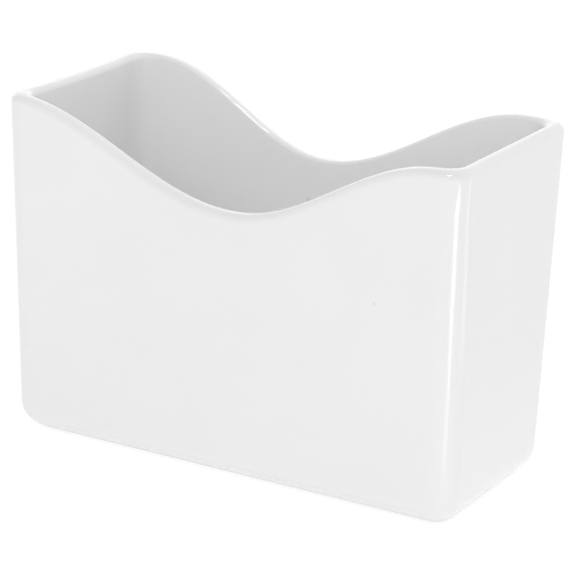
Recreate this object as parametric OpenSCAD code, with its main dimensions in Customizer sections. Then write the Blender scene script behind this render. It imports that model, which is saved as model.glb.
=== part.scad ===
// Napkin holder: a deep open pocket of cast, glazed clay with a dipped front and back rim.
// Origin at the middle of the footprint, on the table. +X along the length, +Y to the back, +Z up.
// Three pieces: the fired clay, the glaze fused over it, and the glaze in the hollow underneath.

/* [Overall size] */

// Length over the rim, end to end
rim_l = 180; // [165:1:200]
// Length just above the table, before the rounding
base_l = 179; // [164:1:200]
// Width over the rim, front to back
rim_w = 89; // [80:0.1:100]
// Width just above the table, before the rounding
base_w = 74.8; // [68:0.1:88]
// Height of the rim at the four corners
height = 128; // [115:0.5:140]

/* [Walls and floor] */

// Wall thickness over both coats of glaze
wall_t = 5.8; // [5.7:0.1:7]
// Height of the flat floor inside, above the table
floor_t = 7.2; // [6:0.1:9]
// Radius of the upright outside corners
corner_r = 9; // [8:0.1:12]
// Radius of the upright inside corners
inner_r = 8.2; // [6.5:0.1:10]
// Radius where the walls turn under to the foot
base_round = 10.8; // [8:0.1:13]
// Radius where the inside walls meet the floor
floor_round = 6; // [4:0.1:9]
// Corner radius of the outline where the foot meets the table
foot_r = 1.5; // [0.5:0.1:3]
// Corner radius of the outline of the flat floor inside
floor_r = 2; // [0.5:0.1:4]

/* [Rim] */

// Radius of the rim's outside edge
rim_out_r = 3.2; // [2.5:0.1:3.3]
// Radius of the rim's inside edge along the front and the back
rim_in_r = 1.3; // [0.9:0.1:2]
// Radius of the rim's inside edge at the two ends
rim_end_r = 2.4; // [1.5:0.1:2.5]
// Depth of the dip in both long walls below the corners
dip_d = 28.6; // [15:0.1:40]
// Place of the lowest point of the back rim, along X
back_low_x = -4.2; // [-10:0.1:10]
// Reach of the back dip to the left of its lowest point
back_run_l = 73.2; // [60:0.1:85]
// Reach of the back dip to the right of its lowest point
back_run_r = 79.1; // [60:0.1:85]
// Place of the lowest point of the front rim, along X
front_low_x = 1.8; // [-10:0.1:10]
// Reach of the front dip to the left of its lowest point
front_run_l = 90.4; // [60:0.1:95]
// Reach of the front dip to the right of its lowest point
front_run_r = 79; // [60:0.1:95]
// How far the left end's rim sags in its middle
left_sag = 0.9; // [0:0.1:3]

/* [Foot] */

// Width of the bare foot that stands on the table
foot_w = 5; // [4:0.5:8]
// Depth of the hollow underneath
hollow_d = 1.5; // [1:0.1:2.5]
// Width of the slope around the hollow
hollow_slope = 1.6; // [1:0.1:3]
// Corner radius of the hollow
hollow_r = 4; // [2:0.5:8]

/* [Glaze] */

// Thickness of the glaze
glaze_t = 0.3; // [0.2:0.05:0.5]
// How far round the base rounding the glaze stops, from straight down
glaze_stop = 26; // [22:1:40]
// Share of the hollow's slope, from the foot up, that stays bare
bare_share = 0.45; // [0.3:0.05:0.6]

/* [Smoothness] */

// Strips along each long wall
long_steps = 34; // [20:1:48]
// Strips across each end wall
end_steps = 6; // [4:1:12]
// Strips round each upright corner
corner_steps = 6; // [4:1:10]
// Strips round each edge of the rim
rim_rows = 4; // [3:1:6]
// Strips round the base rounding
base_rows = 4; // [3:1:8]
// Strips round the floor rounding
floor_rows = 4; // [3:1:8]
// Strips up each wall
wall_rows = 3; // [2:1:6]

/* [Hidden] */

quarter = 90;
half_turn = 180;
full_y = rim_w / 2 - wall_t;
foot_in = base_round + foot_w;
base_z = base_round - glaze_t;
floor_z = floor_t + floor_round;
stop_rows = 2;

clay_color = [0.87, 0.85, 0.81];
glaze_color = [0.93, 0.93, 0.92];

// One entry for each upright strip, anticlockwise from the right end: a place on the outline's
// straight box in half sizes, then the direction that the corner radius pushes it outwards.
end_side = [for (i = [0 : end_steps - 1]) 2 * i / end_steps - 1];
long_side = [for (i = [0 : long_steps - 1]) 2 * i / long_steps - 1];
turns = [for (i = [0 : corner_steps - 1]) quarter * i / corner_steps];

strips = concat(
    [for (e = end_side) [1, e, 1, 0]],
    [for (a = turns) [1, 1, cos(a), sin(a)]],
    [for (e = long_side) [-e, 1, 0, 1]],
    [for (a = turns) [-1, 1, -sin(a), cos(a)]],
    [for (e = end_side) [-1, -e, -1, 0]],
    [for (a = turns) [-1, -1, -cos(a), -sin(a)]],
    [for (e = long_side) [e, -1, 0, -1]],
    [for (a = turns) [1, -1, sin(a), -cos(a)]]
);

// Half sizes of the outside at a height: both lean outwards from the base to the rim.
function half_l(z) = (base_l + (rim_l - base_l) * z / height) / 2;
function half_w(z) = (base_w + (rim_w - base_w) * z / height) / 2;

// The point of strip s at height z, a distance in from the outside, on a corner of radius r.
function spot(s, z, in, r) = [
    s[0] * (half_l(z) - in - r) + s[2] * r,
    s[1] * (half_w(z) - in - r) + s[3] * r,
    z
];

// The same point with the radius that belongs to its depth in the wall.
function wall_spot(s, z, in) = spot(s, z, in, corner_r + (inner_r - corner_r) * in / wall_t);

// Fall of a dip at x, and its slope: a raised cosine on each side of the lowest point.
function run_share(x, low, run_l, run_r) = min(abs(x - low) / (x < low ? run_l : run_r), 1);
function fall(share) = dip_d * (1 + cos(half_turn * share)) / 2;
function slope(share, run) = dip_d * PI * sin(half_turn * share) / (2 * run);

function back_share(x) = run_share(x, back_low_x, back_run_l, back_run_r);
function front_share(x) = run_share(x, front_low_x, front_run_l, front_run_r);
function back_slope(x) = slope(back_share(x), x < back_low_x ? back_run_l : back_run_r);
function front_slope(x) = slope(front_share(x), x < front_low_x ? front_run_l : front_run_r);

// How far a point is towards the back wall, 0 on the front wall and 1 on the back wall.
function back_part(p) = min(max((p[1] / full_y + 1) / 2, 0), 1);

// Height of the rim's crest over a point, and how much its slope stretches it upright.
function sag(x, k) = x < 0 ? left_sag * 4 * k * (1 - k) : 0;
function crest(p) = let (k = back_part(p))
    height - fall(back_share(p[0])) * k - fall(front_share(p[0])) * (1 - k) - sag(p[0], k);
function stretch(p) = let (k = back_part(p))
    norm([1, back_slope(p[0]) * k + front_slope(p[0]) * (1 - k)]);

// The rim's two rounded edges: each one's radius, and how far in the middle of its round lies.
// The inside edge is rounder at the ends than along the long walls.
out_edge = [rim_out_r, rim_out_r];
function in_radius(s) = rim_in_r + (rim_end_r - rim_in_r) * abs(s[2]);
function in_edge(s) = [in_radius(s), wall_t - in_radius(s)];

// A point on an edge of the rim at angle a: 0 on the outside, 90 on the crest, 180 on the inside.
function rim_z(p, a, g, edge) = crest(p) - stretch(p) * (edge[0] - (edge[0] - g) * sin(a));
function rim_in(a, g, edge) = edge[1] - (edge[0] - g) * cos(a);
function rim_try(s, z, a, g, edge) = rim_z(wall_spot(s, z, rim_in(a, g, edge)), a, g, edge);
function rim_spot(s, a, g, edge) = let (z = rim_try(s, height, a, g, edge))
    wall_spot(s, rim_try(s, z, a, g, edge), rim_in(a, g, edge));

// Corner radius of the outline part of the way round the base, and round the floor inside.
function under_r(in) = corner_r + (foot_r - corner_r) * in / base_round;
function within_r(in) = inner_r + (floor_r - inner_r) * (in - wall_t) / floor_round;

// Rings of points, each g below the outer face of the glaze.
function base_ring(a, g) = let (in = base_round - (base_round - g) * sin(a))
    [for (s = strips) spot(s, base_z - (base_round - g) * cos(a), in, under_r(in))];
function outer_ring(share, g) = [for (s = strips)
    wall_spot(s, base_z + (rim_spot(s, 0, g, out_edge)[2] - base_z) * share, g)];
function rim_out_ring(a, g) = [for (s = strips) rim_spot(s, a, g, out_edge)];
function rim_in_ring(a, g) = [for (s = strips) rim_spot(s, a, g, in_edge(s))];
function inner_ring(share, g) = [for (s = strips)
    wall_spot(s, floor_z + (rim_spot(s, half_turn, g, in_edge(s))[2] - floor_z) * share, wall_t - g)];
function floor_ring(a, g) = let (in = wall_t + floor_round - (floor_round + g) * cos(a))
    [for (s = strips) spot(s, floor_z - (floor_round + g) * sin(a), in, within_r(in))];
function flat_ring(z, in, r) = [for (s = strips) spot(s, z, in, r)];

// All the rings under the glaze or on its face, from its edge near the foot to the floor.
function glazed_rings(g) = concat(
    [for (i = [0 : base_rows]) base_ring(glaze_stop + (quarter - glaze_stop) * i / base_rows, g)],
    [for (i = [1 : wall_rows - 1]) outer_ring(i / wall_rows, g)],
    [for (i = [0 : rim_rows]) rim_out_ring(quarter * i / rim_rows, g)],
    [for (i = [0 : rim_rows]) rim_in_ring(quarter + quarter * i / rim_rows, g)],
    [for (i = [1 : wall_rows]) inner_ring(1 - i / wall_rows, g)],
    [for (i = [1 : floor_rows]) floor_ring(quarter * i / floor_rows, g)]
);

// The bare clay from the top of the hollow out to the edge of the glaze.
bare_z = hollow_d * bare_share;
bare_in = foot_in + hollow_slope * bare_share;
hollow_rings = [
    flat_ring(hollow_d, foot_in + hollow_slope, hollow_r),
    flat_ring(bare_z, bare_in, hollow_r)
];
foot_rings = concat(
    [flat_ring(0, foot_in, hollow_r)],
    [for (i = [0 : stop_rows - 1]) base_ring(glaze_stop * i / stop_rows, glaze_t)]
);

function backwards(list) = [for (i = [len(list) - 1 : -1 : 0]) list[i]];

// Two triangles for each cell between two rings. The first bands may be cut on the other
// diagonal, so that a coat and the clay under it share the same facets.
function cell(a, b, c, d, turned) = turned ? [[a, b, d], [b, c, d]] : [[a, b, c], [a, c, d]];
function bands(count, n, turned) = [for (j = [0 : count - 2], i = [0 : n - 1])
    each cell(j * n + i, (j + 1) * n + i, (j + 1) * n + (i + 1) % n, j * n + (i + 1) % n, j < turned)];

// A closed solid from a stack of rings, with a flat fan at each end.
module stack(rings, turned) {
    n = len(strips);
    count = len(rings);
    top = (count - 1) * n;
    middle = count * n;
    first_point = [0, 0, rings[0][0][2]];
    last_point = [0, 0, rings[count - 1][0][2]];
    first = [for (i = [0 : n - 1]) [middle, i, (i + 1) % n]];
    last = [for (i = [0 : n - 1]) [middle + 1, top + (i + 1) % n, top + i]];
    points = concat([for (ring = rings) each ring], [first_point, last_point]);
    polyhedron(points, concat(first, bands(count, n, turned), last));
}

// The fired clay: foot, walls, rounded rim and floor in one casting.
module clay_body() {
    color(clay_color)
        stack(concat(hollow_rings, foot_rings, glazed_rings(glaze_t)), 0);
}

// The glaze over the outside, the rim and the inside, fused to the clay all over.
module glaze_coat() {
    under = glazed_rings(glaze_t);
    color(glaze_color)
        stack(concat(backwards(under), glazed_rings(0)), len(under) - 1);
}

// The glaze in the hollow underneath, clear of the table.
module glaze_under() {
    color(glaze_color)
        stack(concat(
            [flat_ring(hollow_d - glaze_t, foot_in + hollow_slope + glaze_t, hollow_r)],
            [flat_ring(bare_z, bare_in + glaze_t, hollow_r)],
            backwards(hollow_rings)
        ), 0);
}

clay_body();
glaze_coat();
glaze_under();
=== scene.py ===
"""A white glazed ceramic napkin holder with dipped rims, dressed for a studio photograph."""

import math

import bpy
import numpy as np
from mathutils import Matrix, Vector


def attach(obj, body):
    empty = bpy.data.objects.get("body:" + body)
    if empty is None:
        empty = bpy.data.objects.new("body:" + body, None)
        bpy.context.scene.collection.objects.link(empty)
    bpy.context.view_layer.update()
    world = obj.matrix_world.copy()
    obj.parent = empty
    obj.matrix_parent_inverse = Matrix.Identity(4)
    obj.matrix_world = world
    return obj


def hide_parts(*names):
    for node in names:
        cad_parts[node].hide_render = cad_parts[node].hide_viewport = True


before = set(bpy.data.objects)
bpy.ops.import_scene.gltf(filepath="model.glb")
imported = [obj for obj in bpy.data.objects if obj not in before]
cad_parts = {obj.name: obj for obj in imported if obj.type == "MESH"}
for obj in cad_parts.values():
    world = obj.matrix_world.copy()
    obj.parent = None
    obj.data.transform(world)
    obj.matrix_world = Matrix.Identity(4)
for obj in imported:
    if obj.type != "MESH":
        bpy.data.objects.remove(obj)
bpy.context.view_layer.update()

MM = 0.001

# The holder's own sizes, in millimetres, the same as the part's
RIM_L = 180
BASE_L = 179
RIM_W = 89
BASE_W = 74.8
HEIGHT = 128
WALL_T = 5.8
FLOOR_T = 7.2
CORNER_R = 9
INNER_R = 8.2
BASE_ROUND = 10.8
FLOOR_ROUND = 6
FOOT_R = 1.5
FLOOR_R = 2
RIM_OUT_R = 3.2
RIM_IN_R = 1.3
RIM_END_R = 2.4
DIP_D = 28.6
BACK_LOW_X = -4.2
BACK_RUN_L = 73.2
BACK_RUN_R = 79.1
FRONT_LOW_X = 1.8
FRONT_RUN_L = 90.4
FRONT_RUN_R = 79
LEFT_SAG = 0.9
FOOT_W = 5
HOLLOW_D = 1.5
HOLLOW_SLOPE = 1.6
HOLLOW_R = 4
GLAZE_T = 0.3
GLAZE_STOP = math.radians(26)
BARE_SHARE = 0.45

# How finely the smooth surfaces are cut
LONG_STEPS = 84
END_STEPS = 18
CORNER_STEPS = 14
BASE_ROWS = 8
WALL_ROWS = 12
RIM_ROWS = 8
FLOOR_ROWS = 8
STOP_ROWS = 4
HALF_TURN = math.pi
QUARTER_TURN = math.pi / 2
SHARP_ANGLE = math.radians(40)

FULL_Y = RIM_W / 2 - WALL_T
FOOT_IN = BASE_ROUND + FOOT_W
BASE_Z = BASE_ROUND - GLAZE_T
FLOOR_Z = FLOOR_T + FLOOR_ROUND


def strips():
    """One row for each upright strip, anticlockwise: a place on the box, then a way outwards."""
    end = 2 * np.arange(END_STEPS) / END_STEPS - 1
    long = 2 * np.arange(LONG_STEPS) / LONG_STEPS - 1
    turn = QUARTER_TURN * np.arange(CORNER_STEPS) / CORNER_STEPS
    c, s = np.cos(turn), np.sin(turn)
    sides = [(1, end, 1, 0), (1, 1, c, s), (-long, 1, 0, 1), (-1, 1, -s, c)]
    sides += [(-1, -end, -1, 0), (-1, -1, -c, -s), (long, -1, 0, -1), (1, -1, s, -c)]
    return np.vstack([np.column_stack(np.broadcast_arrays(*side)) for side in sides]).astype(float)


STRIPS = strips()

# The rim's two rounded edges: each one's radius, and how far in the middle of its round lies.
# The inside edge is rounder at the ends than along the long walls.
OUT_EDGE = (RIM_OUT_R, RIM_OUT_R)
IN_RADIUS = RIM_IN_R + (RIM_END_R - RIM_IN_R) * np.abs(STRIPS[:, 2])
IN_EDGE = (IN_RADIUS, WALL_T - IN_RADIUS)


def half_l(z):
    return (BASE_L + (RIM_L - BASE_L) * z / HEIGHT) / 2


def half_w(z):
    return (BASE_W + (RIM_W - BASE_W) * z / HEIGHT) / 2


def ring(z, inward, radius):
    """A closed ring of points at height z, that far in from the outside, with rounded corners."""
    z = np.broadcast_to(z, len(STRIPS))
    x = STRIPS[:, 0] * (half_l(z) - inward - radius) + STRIPS[:, 2] * radius
    y = STRIPS[:, 1] * (half_w(z) - inward - radius) + STRIPS[:, 3] * radius
    return np.column_stack([x, y, z])


def wall_ring(z, inward):
    return ring(z, inward, CORNER_R + (INNER_R - CORNER_R) * inward / WALL_T)


def dip(x, low, run_l, run_r):
    """Fall of a rim's dip at x, and its slope: a raised cosine on each side of its low point."""
    run = np.where(x < low, run_l, run_r)
    share = np.minimum(np.abs(x - low) / run, 1)
    fall = DIP_D * (1 + np.cos(HALF_TURN * share)) / 2
    return fall, DIP_D * HALF_TURN * np.sin(HALF_TURN * share) / (2 * run)


def crest(points):
    """Height of the rim's crest over each point, and how much its slope stretches it upright."""
    x = points[:, 0]
    back = np.clip((points[:, 1] / FULL_Y + 1) / 2, 0, 1)
    back_fall, back_slope = dip(x, BACK_LOW_X, BACK_RUN_L, BACK_RUN_R)
    front_fall, front_slope = dip(x, FRONT_LOW_X, FRONT_RUN_L, FRONT_RUN_R)
    sag = np.where(x < 0, LEFT_SAG * 4 * back * (1 - back), 0)
    height = HEIGHT - back_fall * back - front_fall * (1 - back) - sag
    return height, np.hypot(1, back_slope * back + front_slope * (1 - back))


# A rim point's place and height depend on each other, so they are found in turns
RIM_PASSES = 2


def rim_ring(angle, depth, edge):
    """The rim at an angle, from 0 on the outside over the crest to a half turn inside."""
    radius, middle = edge
    inward = middle - (radius - depth) * math.cos(angle)
    z = HEIGHT
    for _ in range(RIM_PASSES):
        height, stretch = crest(wall_ring(z, inward))
        z = height - stretch * (radius - (radius - depth) * math.sin(angle))
    return wall_ring(z, inward)


def base_ring(angle, depth):
    inward = BASE_ROUND - (BASE_ROUND - depth) * math.sin(angle)
    z = BASE_Z - (BASE_ROUND - depth) * math.cos(angle)
    return ring(z, inward, CORNER_R + (FOOT_R - CORNER_R) * inward / BASE_ROUND)


def floor_ring(angle, depth):
    inward = WALL_T + FLOOR_ROUND - (FLOOR_ROUND + depth) * math.cos(angle)
    z = FLOOR_Z - (FLOOR_ROUND + depth) * math.sin(angle)
    return ring(z, inward, INNER_R + (FLOOR_R - INNER_R) * (inward - WALL_T) / FLOOR_ROUND)


def between(low, high, steps):
    return [low + (high - low) * i / steps for i in range(steps + 1)]


def glazed_rings(depth):
    """Rings below the glaze's face, from its edge near the foot, over the rim, to the floor."""
    rings = [base_ring(angle, depth) for angle in between(GLAZE_STOP, QUARTER_TURN, BASE_ROWS)]
    outer_top = rim_ring(0, depth, OUT_EDGE)[:, 2]
    inner_top = rim_ring(HALF_TURN, depth, IN_EDGE)[:, 2]
    for share in between(0, 1, WALL_ROWS)[1:-1]:
        rings.append(wall_ring(BASE_Z + (outer_top - BASE_Z) * share, depth))
    for edge, start in ((OUT_EDGE, 0), (IN_EDGE, QUARTER_TURN)):
        angles = between(start, start + QUARTER_TURN, RIM_ROWS)
        rings += [rim_ring(angle, depth, edge) for angle in angles]
    for share in between(1, 0, WALL_ROWS)[1:]:
        rings.append(wall_ring(FLOOR_Z + (inner_top - FLOOR_Z) * share, WALL_T - depth))
    rings += [floor_ring(angle, depth) for angle in between(0, QUARTER_TURN, FLOOR_ROWS)[1:]]
    return rings


def hollow_rings(cover):
    """The hollow underneath, from its top to the edge of its glaze, with a cover over the clay."""
    top = ring(HOLLOW_D - cover, FOOT_IN + HOLLOW_SLOPE + cover, HOLLOW_R)
    edge = FOOT_IN + HOLLOW_SLOPE * BARE_SHARE + cover
    return [top, ring(HOLLOW_D * BARE_SHARE, edge, HOLLOW_R)]


def foot_rings():
    """The bare foot, from the hollow's rim, over the base's round, to the edge of the glaze."""
    rings = [ring(0, FOOT_IN, HOLLOW_R)]
    return rings + [base_ring(angle, GLAZE_T) for angle in between(0, GLAZE_STOP, STOP_ROWS)[:-1]]


def add_object(name, data):
    thing = bpy.data.objects.new(name, data)
    bpy.context.collection.objects.link(thing)
    return thing


def solid(name, rings):
    """A closed, smooth-shaded mesh from a stack of rings, with a flat fan at each end."""
    count, n = len(rings), len(STRIPS)
    ends = [[0, 0, rings[0][0][2]], [0, 0, rings[-1][0][2]]]
    points = np.vstack([*rings, ends]) * MM
    faces = [(count * n, i, (i + 1) % n) for i in range(n)]
    for j in range(count - 1):
        for i in range(n):
            k = (i + 1) % n
            faces.append((j * n + i, (j + 1) * n + i, (j + 1) * n + k, j * n + k))
    top = (count - 1) * n
    faces += [(count * n + 1, top + (i + 1) % n, top + i) for i in range(n)]
    mesh = bpy.data.meshes.new(name)
    mesh.from_pydata(points.tolist(), [], [face[::-1] for face in faces])
    mesh.validate()
    mesh.shade_smooth()
    mesh.set_sharp_from_angle(angle=SHARP_ANGLE)
    piece = add_object(name, mesh)
    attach(piece, "root")
    return piece


def math_node(tree, operation, *values):
    """One step of arithmetic, on numbers or on what other nodes give."""
    node = tree.nodes.new("ShaderNodeMath")
    node.operation = operation
    for into, value in zip(node.inputs, values):
        if isinstance(value, (int, float)):
            into.default_value = value
        else:
            tree.links.new(value, into)
    return node.outputs["Value"]


def put(node, values):
    """Set a node's sockets by their names."""
    for socket, value in values.items():
        node.inputs[socket].default_value = value


class Nodes:
    """Short calls for building a material's node tree."""

    def __init__(self, name):
        self.material = bpy.data.materials.new(name)
        self.material.use_nodes = True
        self.tree = self.material.node_tree
        self.shader = self.tree.nodes["Principled BSDF"]

    def add(self, kind, values=None, **settings):
        node = self.tree.nodes.new("ShaderNode" + kind)
        for key, setting in settings.items():
            setattr(node, key, setting)
        put(node, values or {})
        return node

    def link(self, out, into):
        self.tree.links.new(out, into)

    def surface(self, out):
        """Make this shader the material's surface."""
        self.link(out, self.tree.nodes["Material Output"].inputs["Surface"])

    def place(self, kind="Object"):
        """Where on the piece a point lies, in metres, or as Generated in shares of its box."""
        return self.add("TexCoord").outputs[kind]

    def noise(self, patches, detail=3):
        """Cloudy noise from 0 to 1, with that many patches to a metre."""
        noise = self.add("TexNoise", {"Scale": patches, "Detail": detail})
        self.link(self.place(), noise.inputs["Vector"])
        return noise.outputs["Fac"]

    def fade(self, value, start, end, low, high):
        """A soft change from low, where the value is at start, to high, where it is at end."""
        ends = {"From Min": start, "From Max": end, "To Min": low, "To Max": high}
        fade = self.add("MapRange", ends, interpolation_type="SMOOTHSTEP")
        self.link(value, fade.inputs["Value"])
        return fade.outputs["Result"]

    def ramp(self, value, places, colours):
        """A colour from the first at the first place to the second at the second."""
        ramp = self.add("ValToRGB")
        for stop, place, colour in zip(ramp.color_ramp.elements, places, colours):
            stop.position = place
            stop.color = linear(colour)
        self.link(value, ramp.inputs["Fac"])
        return ramp.outputs["Color"]

    def bump(self, height, depth, strength=1):
        """Raise the surface by up to that depth where the height is 1."""
        bump = self.add("Bump", {"Distance": depth, "Strength": strength})
        self.link(height, bump.inputs["Height"])
        self.link(bump.outputs["Normal"], self.shader.inputs["Normal"])


def linear(colour):
    """A colour as the screen shows it (sRGB), as the light that it stands for, and opaque."""
    light = [((c + 0.055) / 1.055) ** 2.4 if c > 0.04045 else c / 12.92 for c in colour]
    return (*light, 1)


# The glaze: its two near whites and where the noise reaches each, how rough it is at least and at
# most, and the patches to a metre of both
GLAZE_WHITES = ((0.963, 0.963, 0.963), (0.972, 0.972, 0.972))
GLAZE_PLACES = (0.3, 0.7)
GLAZE_PATCHES = 14
GLOSS_ROUGHNESS = (0.08, 0.13)
GLOSS_PATCHES = 40
GLAZE_IOR = 1.5

# The glaze's faults: faint specks under it, the photo's one clear speck, and the waves that it
# set in
SPECK_COLOUR = (0.7, 0.69, 0.67)
SPECK_SPACING = 15 * MM
SPECK_R = 0.2 * MM
SPECK_BLUR = 0.6 * MM
SPECK_FAINTNESS = 1.2
SPECK_DEPTH = 0.25
SEEN_SPECK = (-9.2 * MM, 36.3 * MM, 83.6 * MM)
SEEN_SPECK_R = 0.2 * MM
SEEN_SPECK_BLUR = 1.4 * MM
SEEN_SPECK_DEPTH = 0.3
WAVE_SPACING = 11 * MM
WAVE_HEIGHT = 0.018 * MM


def specks(nodes):
    """How dark the glaze is: 0 but for a few places where a grain lies under it."""
    place = nodes.place()
    cells = nodes.add("TexVoronoi", {"Scale": 1 / SPECK_SPACING})
    nodes.link(place, cells.inputs["Vector"])
    start, end = SPECK_R / SPECK_SPACING, (SPECK_R + SPECK_BLUR) / SPECK_SPACING
    grain = nodes.fade(cells.outputs["Distance"], start, end, SPECK_DEPTH, 0)
    chance = nodes.add("SeparateXYZ")
    nodes.link(cells.outputs["Color"], chance.inputs["Vector"])
    faint = math_node(nodes.tree, "POWER", chance.outputs["X"], SPECK_FAINTNESS)
    grains = math_node(nodes.tree, "MULTIPLY", grain, faint)
    away = nodes.add("VectorMath", operation="DISTANCE")
    away.inputs[1].default_value = SEEN_SPECK
    nodes.link(place, away.inputs[0])
    end = SEEN_SPECK_R + SEEN_SPECK_BLUR
    seen = nodes.fade(away.outputs["Value"], SEEN_SPECK_R, end, SEEN_SPECK_DEPTH, 0)
    return math_node(nodes.tree, "MAXIMUM", grains, seen)


def glaze_material():
    nodes = Nodes("white_glaze")
    shader = nodes.shader
    tone = nodes.ramp(nodes.noise(GLAZE_PATCHES), GLAZE_PLACES, GLAZE_WHITES)
    spotted = nodes.add("Mix", {"B": linear(SPECK_COLOUR)}, data_type="RGBA")
    nodes.link(specks(nodes), spotted.inputs["Factor"])
    nodes.link(tone, spotted.inputs["A"])
    nodes.link(spotted.outputs["Result"], shader.inputs["Base Color"])
    gloss = nodes.add("MapRange", dict(zip(("To Min", "To Max"), GLOSS_ROUGHNESS)))
    nodes.link(nodes.noise(GLOSS_PATCHES), gloss.inputs["Value"])
    nodes.link(gloss.outputs["Result"], shader.inputs["Roughness"])
    put(shader, {"IOR": GLAZE_IOR})
    nodes.bump(nodes.noise(1 / WAVE_SPACING), WAVE_HEIGHT)
    return nodes.material


# The bare clay: its two tones and where the noise reaches each, how rough it is, and its grain,
# all in patches to a metre
CLAY_TONES = ((0.83, 0.81, 0.77), (0.89, 0.87, 0.84))
CLAY_PLACES = (0.35, 0.65)
CLAY_PATCHES = 900
CLAY_DETAIL = 6
CLAY_ROUGHNESS = 0.85
GRAIN_PATCHES = 2500
GRAIN_DETAIL = 4
GRAIN_DEPTH = 0.05 * MM
GRAIN_STRENGTH = 0.3


def clay_material():
    nodes = Nodes("bare_clay")
    shader = nodes.shader
    tone = nodes.ramp(nodes.noise(CLAY_PATCHES, CLAY_DETAIL), CLAY_PLACES, CLAY_TONES)
    nodes.link(tone, shader.inputs["Base Color"])
    put(shader, {"Roughness": CLAY_ROUGHNESS})
    nodes.bump(nodes.noise(GRAIN_PATCHES, GRAIN_DETAIL), GRAIN_DEPTH, GRAIN_STRENGTH)
    return nodes.material


def holder():
    """The clay, the glaze all round it, and the patch of glaze underneath."""
    under = glazed_rings(GLAZE_T)
    hollow = hollow_rings(0)
    clay = solid("clay", hollow + foot_rings() + under)
    coat = solid("glaze", under[::-1] + glazed_rings(0))
    patch = solid("glaze_underneath", hollow_rings(GLAZE_T) + hollow[::-1])
    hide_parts("clay_body")
    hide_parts("glaze_coat")
    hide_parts("glaze_under")
    glaze = glaze_material()
    clay.data.materials.append(clay_material())
    coat.data.materials.append(glaze)
    patch.data.materials.append(glaze)


# The photograph's camera, fitted to the holder's outline
CAMERA_AT = (0.4375, -0.7914, 0.3578)
CAMERA_FORWARD = (-0.4569, 0.8331, -0.3117)
CAMERA_UP = (-0.1818, 0.2555, 0.9496)
LENS_MM = 166.2
SENSOR_MM = 36
CLIP_START = 0.01
CLIP_END = 50


def camera():
    data = bpy.data.cameras.new("camera")
    data.lens = LENS_MM
    data.sensor_width = SENSOR_MM
    data.clip_start = CLIP_START
    data.clip_end = CLIP_END
    view = add_object("camera", data)
    back = -Vector(CAMERA_FORWARD).normalized()
    right = Vector(CAMERA_UP).cross(back).normalized()
    up = back.cross(right)
    turn = Matrix((right, up, back)).transposed().to_4x4()
    view.matrix_world = Matrix.Translation(CAMERA_AT) @ turn
    bpy.context.scene.camera = view


WHITE = (1, 1, 1, 1)


def seen_white(tree):
    """1 for the rays that show a background: to the camera, mirrored or through glass."""
    path = tree.nodes.new("ShaderNodeLightPath")
    seen = math_node(tree, "MAXIMUM", path.outputs["Is Camera Ray"], path.outputs["Is Glossy Ray"])
    return math_node(tree, "MAXIMUM", seen, path.outputs["Is Transmission Ray"])


# The table's size in metres and its glow. A view of it holds a share of plain white, and the rest
# takes the shadow.
FLOOR_SIZE = 6
FLOOR_GLOW = 0.162
FLOOR_WHITE = 1.04
FLOOR_SHARE = 0.8

# The parts of the table that the glaze mirrors: how far they reach past the foot all round, and
# out to the right and back, how high they lie, in millimetres, and their share of plain white
FLOOR_NEAR = 25
FLOOR_RIGHT = 130
FLOOR_LIFT = 0.02
FLOOR_NEAR_SHARE = 0.35


def only_mirrored(piece):
    """Leave a stage piece to be seen in the glaze alone."""
    piece.visible_camera = False
    piece.visible_diffuse = False
    piece.visible_shadow = False
    piece.visible_transmission = False


def four_cornered(name, corners, material):
    """A flat piece of the stage between four corners."""
    mesh = bpy.data.meshes.new(name)
    mesh.from_pydata(corners, [], [(0, 1, 2, 3)])
    mesh.materials.append(material)
    sheet = add_object(name, mesh)
    return sheet


def plate(name, low, high, z, material):
    """A level piece of the table from its low corner to its high one, at height z."""
    corners = [(*low, z), (high[0], low[1], z), (*high, z), (low[0], high[1], z)]
    return four_cornered(name, corners, material)


def table_material(name, share):
    """White that glows a little, as a lit acrylic table does, and is clear from below."""
    nodes = Nodes(name)
    put(nodes.shader, {"Base Color": WHITE, "Roughness": 1, "Specular IOR Level": 0})
    put(nodes.shader, {"Emission Color": WHITE, "Emission Strength": FLOOR_GLOW})
    white = nodes.add("Emission", {"Strength": FLOOR_WHITE})
    mix = nodes.add("MixShader")
    seen = math_node(nodes.tree, "MULTIPLY", seen_white(nodes.tree), share)
    nodes.link(seen, mix.inputs["Fac"])
    nodes.link(nodes.shader.outputs["BSDF"], mix.inputs[1])
    nodes.link(white.outputs["Emission"], mix.inputs[2])
    below = nodes.add("MixShader")
    nodes.link(nodes.add("NewGeometry").outputs["Backfacing"], below.inputs["Fac"])
    nodes.link(mix.outputs["Shader"], below.inputs[1])
    nodes.link(nodes.add("BsdfTransparent").outputs["BSDF"], below.inputs[2])
    nodes.surface(below.outputs["Shader"])
    return nodes.material


def floor():
    """The table, and the parts of it that the glaze mirrors beside the light of the corner."""
    half = FLOOR_SIZE / 2
    table = plate("floor", (-half, -half), (half, half), 0, table_material("floor", FLOOR_SHARE))
    table.visible_glossy = False
    shaded = table_material("floor_near", FLOOR_NEAR_SHARE)
    z = FLOOR_LIFT * MM
    x, y = (BASE_L / 2 + FLOOR_NEAR) * MM, (BASE_W / 2 + FLOOR_NEAR) * MM
    only_mirrored(plate("floor_near", (-x, -y), (x, y), z, shaded))
    front, back = -BASE_W / 2 * MM, FLOOR_RIGHT * MM
    right = (BASE_L / 2 + FLOOR_RIGHT) * MM
    only_mirrored(plate("floor_right", (x, front), (right, back), z, shaded))


# The right front corner, which the glowing strips and the lamps face, and how far off the strips
# stand, in metres. Each strip's glow changes between two shares of its height.
CARD_CENTRE = Vector((0.087, -0.04, 0.07))
CARD_DISTANCE = 1.5
FADE_LOW = 0.3
FADE_HIGH = 0.65


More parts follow.
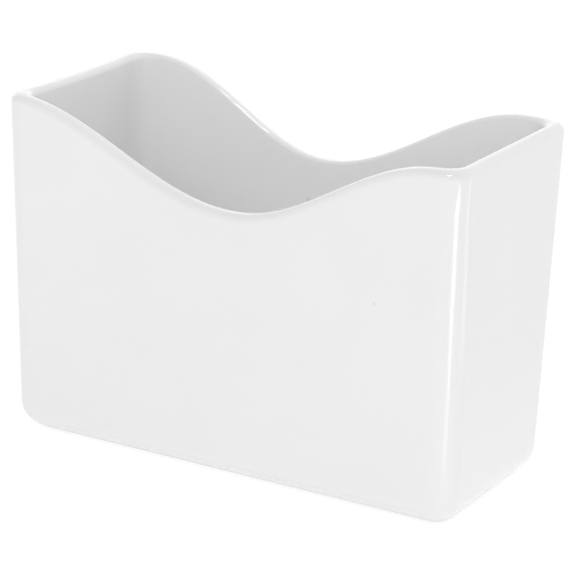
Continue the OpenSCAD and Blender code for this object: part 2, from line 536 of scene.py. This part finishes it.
def towards(azimuth, elevation):
    """A direction: azimuth turns from the front to the right, elevation rises from the table."""
    a, e = math.radians(azimuth), math.radians(elevation)
    return Vector((math.sin(a) * math.cos(e), -math.cos(a) * math.cos(e), math.sin(e)))


def card(name, low, high, width, glow):
    """A glowing strip between two directions, seen only as a reflection in the glaze."""
    ends = [CARD_CENTRE + towards(*end) * CARD_DISTANCE for end in (low, high)]
    along = ends[1] - ends[0]
    middle = (ends[0] + ends[1]) / 2 - CARD_CENTRE
    across = along.cross(middle).normalized() * width / 2
    corners = [ends[0] - across, ends[0] + across, ends[1] + across, ends[1] - across]
    nodes = Nodes(name)
    axes = nodes.add("SeparateXYZ")
    nodes.link(nodes.place("Generated"), axes.inputs["Vector"])
    light = nodes.add("Emission")
    nodes.link(nodes.fade(axes.outputs["Z"], FADE_LOW, FADE_HIGH, *glow), light.inputs["Strength"])
    nodes.surface(light.outputs["Emission"])
    nodes.tree.nodes.remove(nodes.shader)
    nodes.material.cycles.emission_sampling = "NONE"
    only_mirrored(four_cornered(name, corners, nodes.material))


# The studio's plain light, and how much more of it comes from straight behind the holder
SKY_LEVEL = 0.561
SKY_BEHIND = 0.25


def sky():
    """A plain studio, brighter behind the holder than in front, and white where it shows."""
    world = bpy.data.worlds.new("studio")
    bpy.context.scene.world = world
    world.use_nodes = True
    tree = world.node_tree
    place = tree.nodes.new("ShaderNodeTexCoord")
    axes = tree.nodes.new("ShaderNodeSeparateXYZ")
    tree.links.new(place.outputs["Generated"], axes.inputs["Vector"])
    behind = math_node(tree, "MAXIMUM", axes.outputs["Y"], 0)
    level = math_node(tree, "MULTIPLY_ADD", behind, SKY_BEHIND, SKY_LEVEL)
    white = math_node(tree, "MULTIPLY", seen_white(tree), math_node(tree, "SUBTRACT", 1, level))
    strength = math_node(tree, "ADD", level, white)
    tree.links.new(strength, tree.nodes["Background"].inputs["Strength"])
    put(tree.nodes["Background"], {"Color": WHITE})


# How far off the lamps stand and how wide they are, in metres
SOFT_BOX_DISTANCE = 3
SOFT_BOX_SIZE = 1.6


def soft_box(name, azimuth, elevation, power):
    """A square lamp that faces the holder and lights it without showing in the glaze."""
    data = bpy.data.lights.new(name, "AREA")
    data.size = SOFT_BOX_SIZE
    data.energy = power
    lamp = add_object(name, data)
    direction = towards(azimuth, elevation)
    lamp.location = CARD_CENTRE + direction * SOFT_BOX_DISTANCE
    lamp.rotation_euler = direction.to_track_quat("Z", "Y").to_euler()
    lamp.visible_camera = False
    lamp.visible_glossy = False


def studio():
    """The light of the photo: four lamps that light the holder, and the strips that it mirrors."""
    sky()
    soft_box("key_low", azimuth=10, elevation=28, power=8.8)
    soft_box("key_high", azimuth=10, elevation=45, power=9.1)
    soft_box("back_mid", azimuth=175, elevation=40, power=16)
    soft_box("right_low", azimuth=90, elevation=25, power=3.2)
    card("corner_light", low=(28, -38), high=(50, -26.5), width=0.13, glow=(2.5, 2.6))
    card("corner_light_top", low=(52, -26), high=(77, -13), width=0.17, glow=(4.4, 7))
    card("side_light", low=(106, -27), high=(128, -15), width=0.28, glow=(1, 2.3))
    card("side_light_top", low=(128, -15), high=(122, 14), width=0.24, glow=(2.4, 2.4))
    card("top_light", low=(27, 75), high=(73, 79), width=0.22, glow=(34, 34))
    card("back_light", low=(-165, 15), high=(-115, 15), width=0.8, glow=(1.4, 1.4))


holder()
floor()
camera()
studio()
bpy.context.scene.view_settings.view_transform = "Standard"
